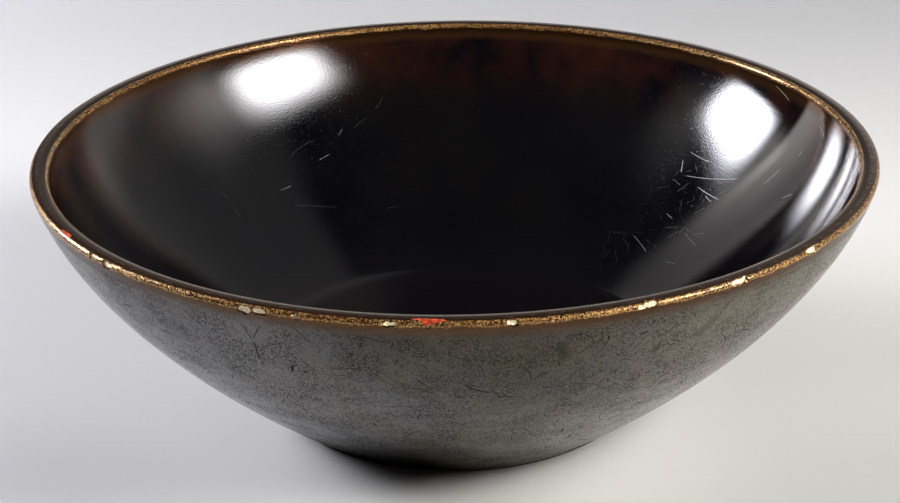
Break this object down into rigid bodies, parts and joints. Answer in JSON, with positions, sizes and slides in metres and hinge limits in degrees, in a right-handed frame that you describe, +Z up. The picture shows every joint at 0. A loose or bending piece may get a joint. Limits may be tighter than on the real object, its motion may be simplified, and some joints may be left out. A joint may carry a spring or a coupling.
{
  "type": "salad bowl",
  "caption": "Wide round stoneware bowl on a low foot ring, dark iron glaze, thick lip with small chips and red fills.",
  "frame": {"origin": "centre of the foot ring, on the surface that the bowl stands on", "axes": "+Z up along the bowl's turning axis; -Y is the side that faced the camera, with the longer red fill and most of the chips"},
  "size_m": [0.28, 0.28, 0.0904],
  "materials": {
    "clay": "matte",
    "outer_glaze": "satin",
    "lip_glaze": "gloss",
    "inner_glaze": "gloss",
    "base_glaze": "satin",
    "red_lacquer": "satin"
  },
  "bodies": {
    "root": {"clay_body": "clay", "outer_glaze": "outer_glaze", "lip_glaze": "lip_glaze", "inner_glaze": "inner_glaze", "base_glaze": "base_glaze", "front_fill": "red_lacquer", "left_fill": "red_lacquer"}
  },
  "joints": []
}
